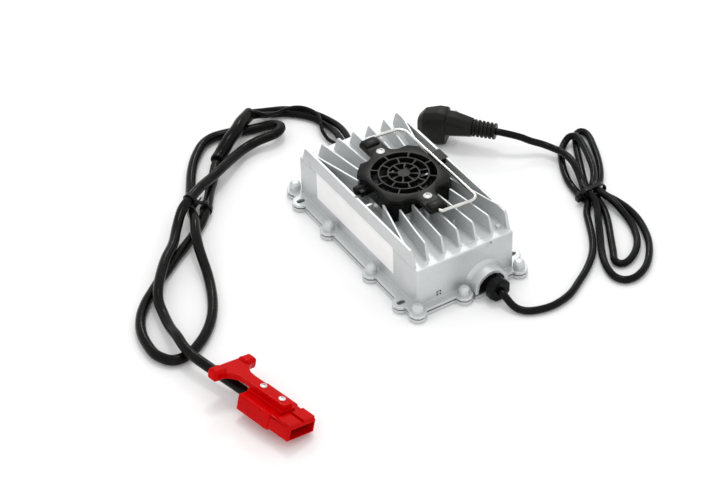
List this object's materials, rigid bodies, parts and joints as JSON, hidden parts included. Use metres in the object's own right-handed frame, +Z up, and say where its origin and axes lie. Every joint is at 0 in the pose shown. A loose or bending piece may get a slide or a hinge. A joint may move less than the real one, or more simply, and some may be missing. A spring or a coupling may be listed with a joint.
{
  "type": "battery charger",
  "caption": "Sealed finned aluminium battery charger with a top fan, a wire bail, a plugged mains lead and a sleeved charging lead with a two-pole connector.",
  "frame": {"origin": "centre of the base plate's underside, where it stands", "axes": "+X towards the mains gland, +Y towards the side where the bail lies at rest (the label side is -Y), +Z up"},
  "size_m": [0.4203, 0.5149, 0.0737],
  "materials": {
    "cast": "as cast, silver-grey",
    "gasket": "matt",
    "screw": "zinc plated",
    "black": "moulded, slight sheen",
    "wire": "bright wire",
    "laminate": "solder mask",
    "ferrite": "matt",
    "copper": "enamelled wire",
    "can": "sleeved",
    "ceramic": "ceramic",
    "jacket": "smooth flexible jacket",
    "red": "glossy",
    "contact": "tinned",
    "pin": "nickel plated"
  },
  "bodies": {
    "charger": {"housing": "cast", "base_plate": "cast", "base_gasket": "gasket", "base_screw_1": "screw", "base_screw_2": "screw", "base_screw_3": "screw", "base_screw_4": "screw", "base_screw_5": "screw", "base_screw_6": "screw", "base_screw_7": "screw", "base_screw_8": "screw", "base_screw_9": "screw", "base_screw_10": "screw", "cover_screw_1": "screw", "cover_screw_2": "screw", "board_screw_1": "screw", "board_screw_2": "screw", "board_screw_3": "screw", "board_screw_4": "screw", "handle_screw_1": "screw", "handle_screw_2": "screw", "clamp_bar": "screw", "charge_gland_body": "black", "charge_gland_nut": "black", "mains_gland_body": "black", "mains_gland_nut": "black", "fan_frame": "black", "fan_cover": "black", "plug_body": "black", "sleeve_tie_1": "black", "sleeve_tie_2": "black", "hank_tie": "black", "power_transistor_1": "black", "power_transistor_2": "black", "output_rectifier": "black", "circuit_board": "laminate", "transformer_core": "ferrite", "transformer_winding": "copper", "line_choke": "copper", "bulk_capacitor_1": "can", "bulk_capacitor_2": "can", "output_capacitor_1": "can", "output_capacitor_2": "can", "fuse": "ceramic", "charge_lead_1": "jacket", "charge_lead_2": "jacket", "sense_lead": "jacket", "charge_sleeve": "jacket", "mains_lead": "jacket", "mains_hank": "jacket", "mains_tail": "jacket", "connector_housing": "red", "connector_handle": "red", "connector_contact_1": "contact", "connector_contact_2": "contact", "plug_pin_1": "pin", "plug_pin_2": "pin"},
    "fan_rotor": {"fan_rotor": "black"},
    "bail": {"bail_handle": "wire"}
  },
  "joints": [
    {"name": "fan_spin", "type": "hinge", "parent": "charger", "child": "fan_rotor", "pos_m": [0, 0, 0.0605], "axis": [0, 0, 1], "continuous": true},
    {"name": "bail_swing", "type": "hinge", "parent": "charger", "child": "bail", "pos_m": [0, -0.0015, 0.07], "axis": [1, 0, 0], "range_deg": [0, 188]}
  ]
}
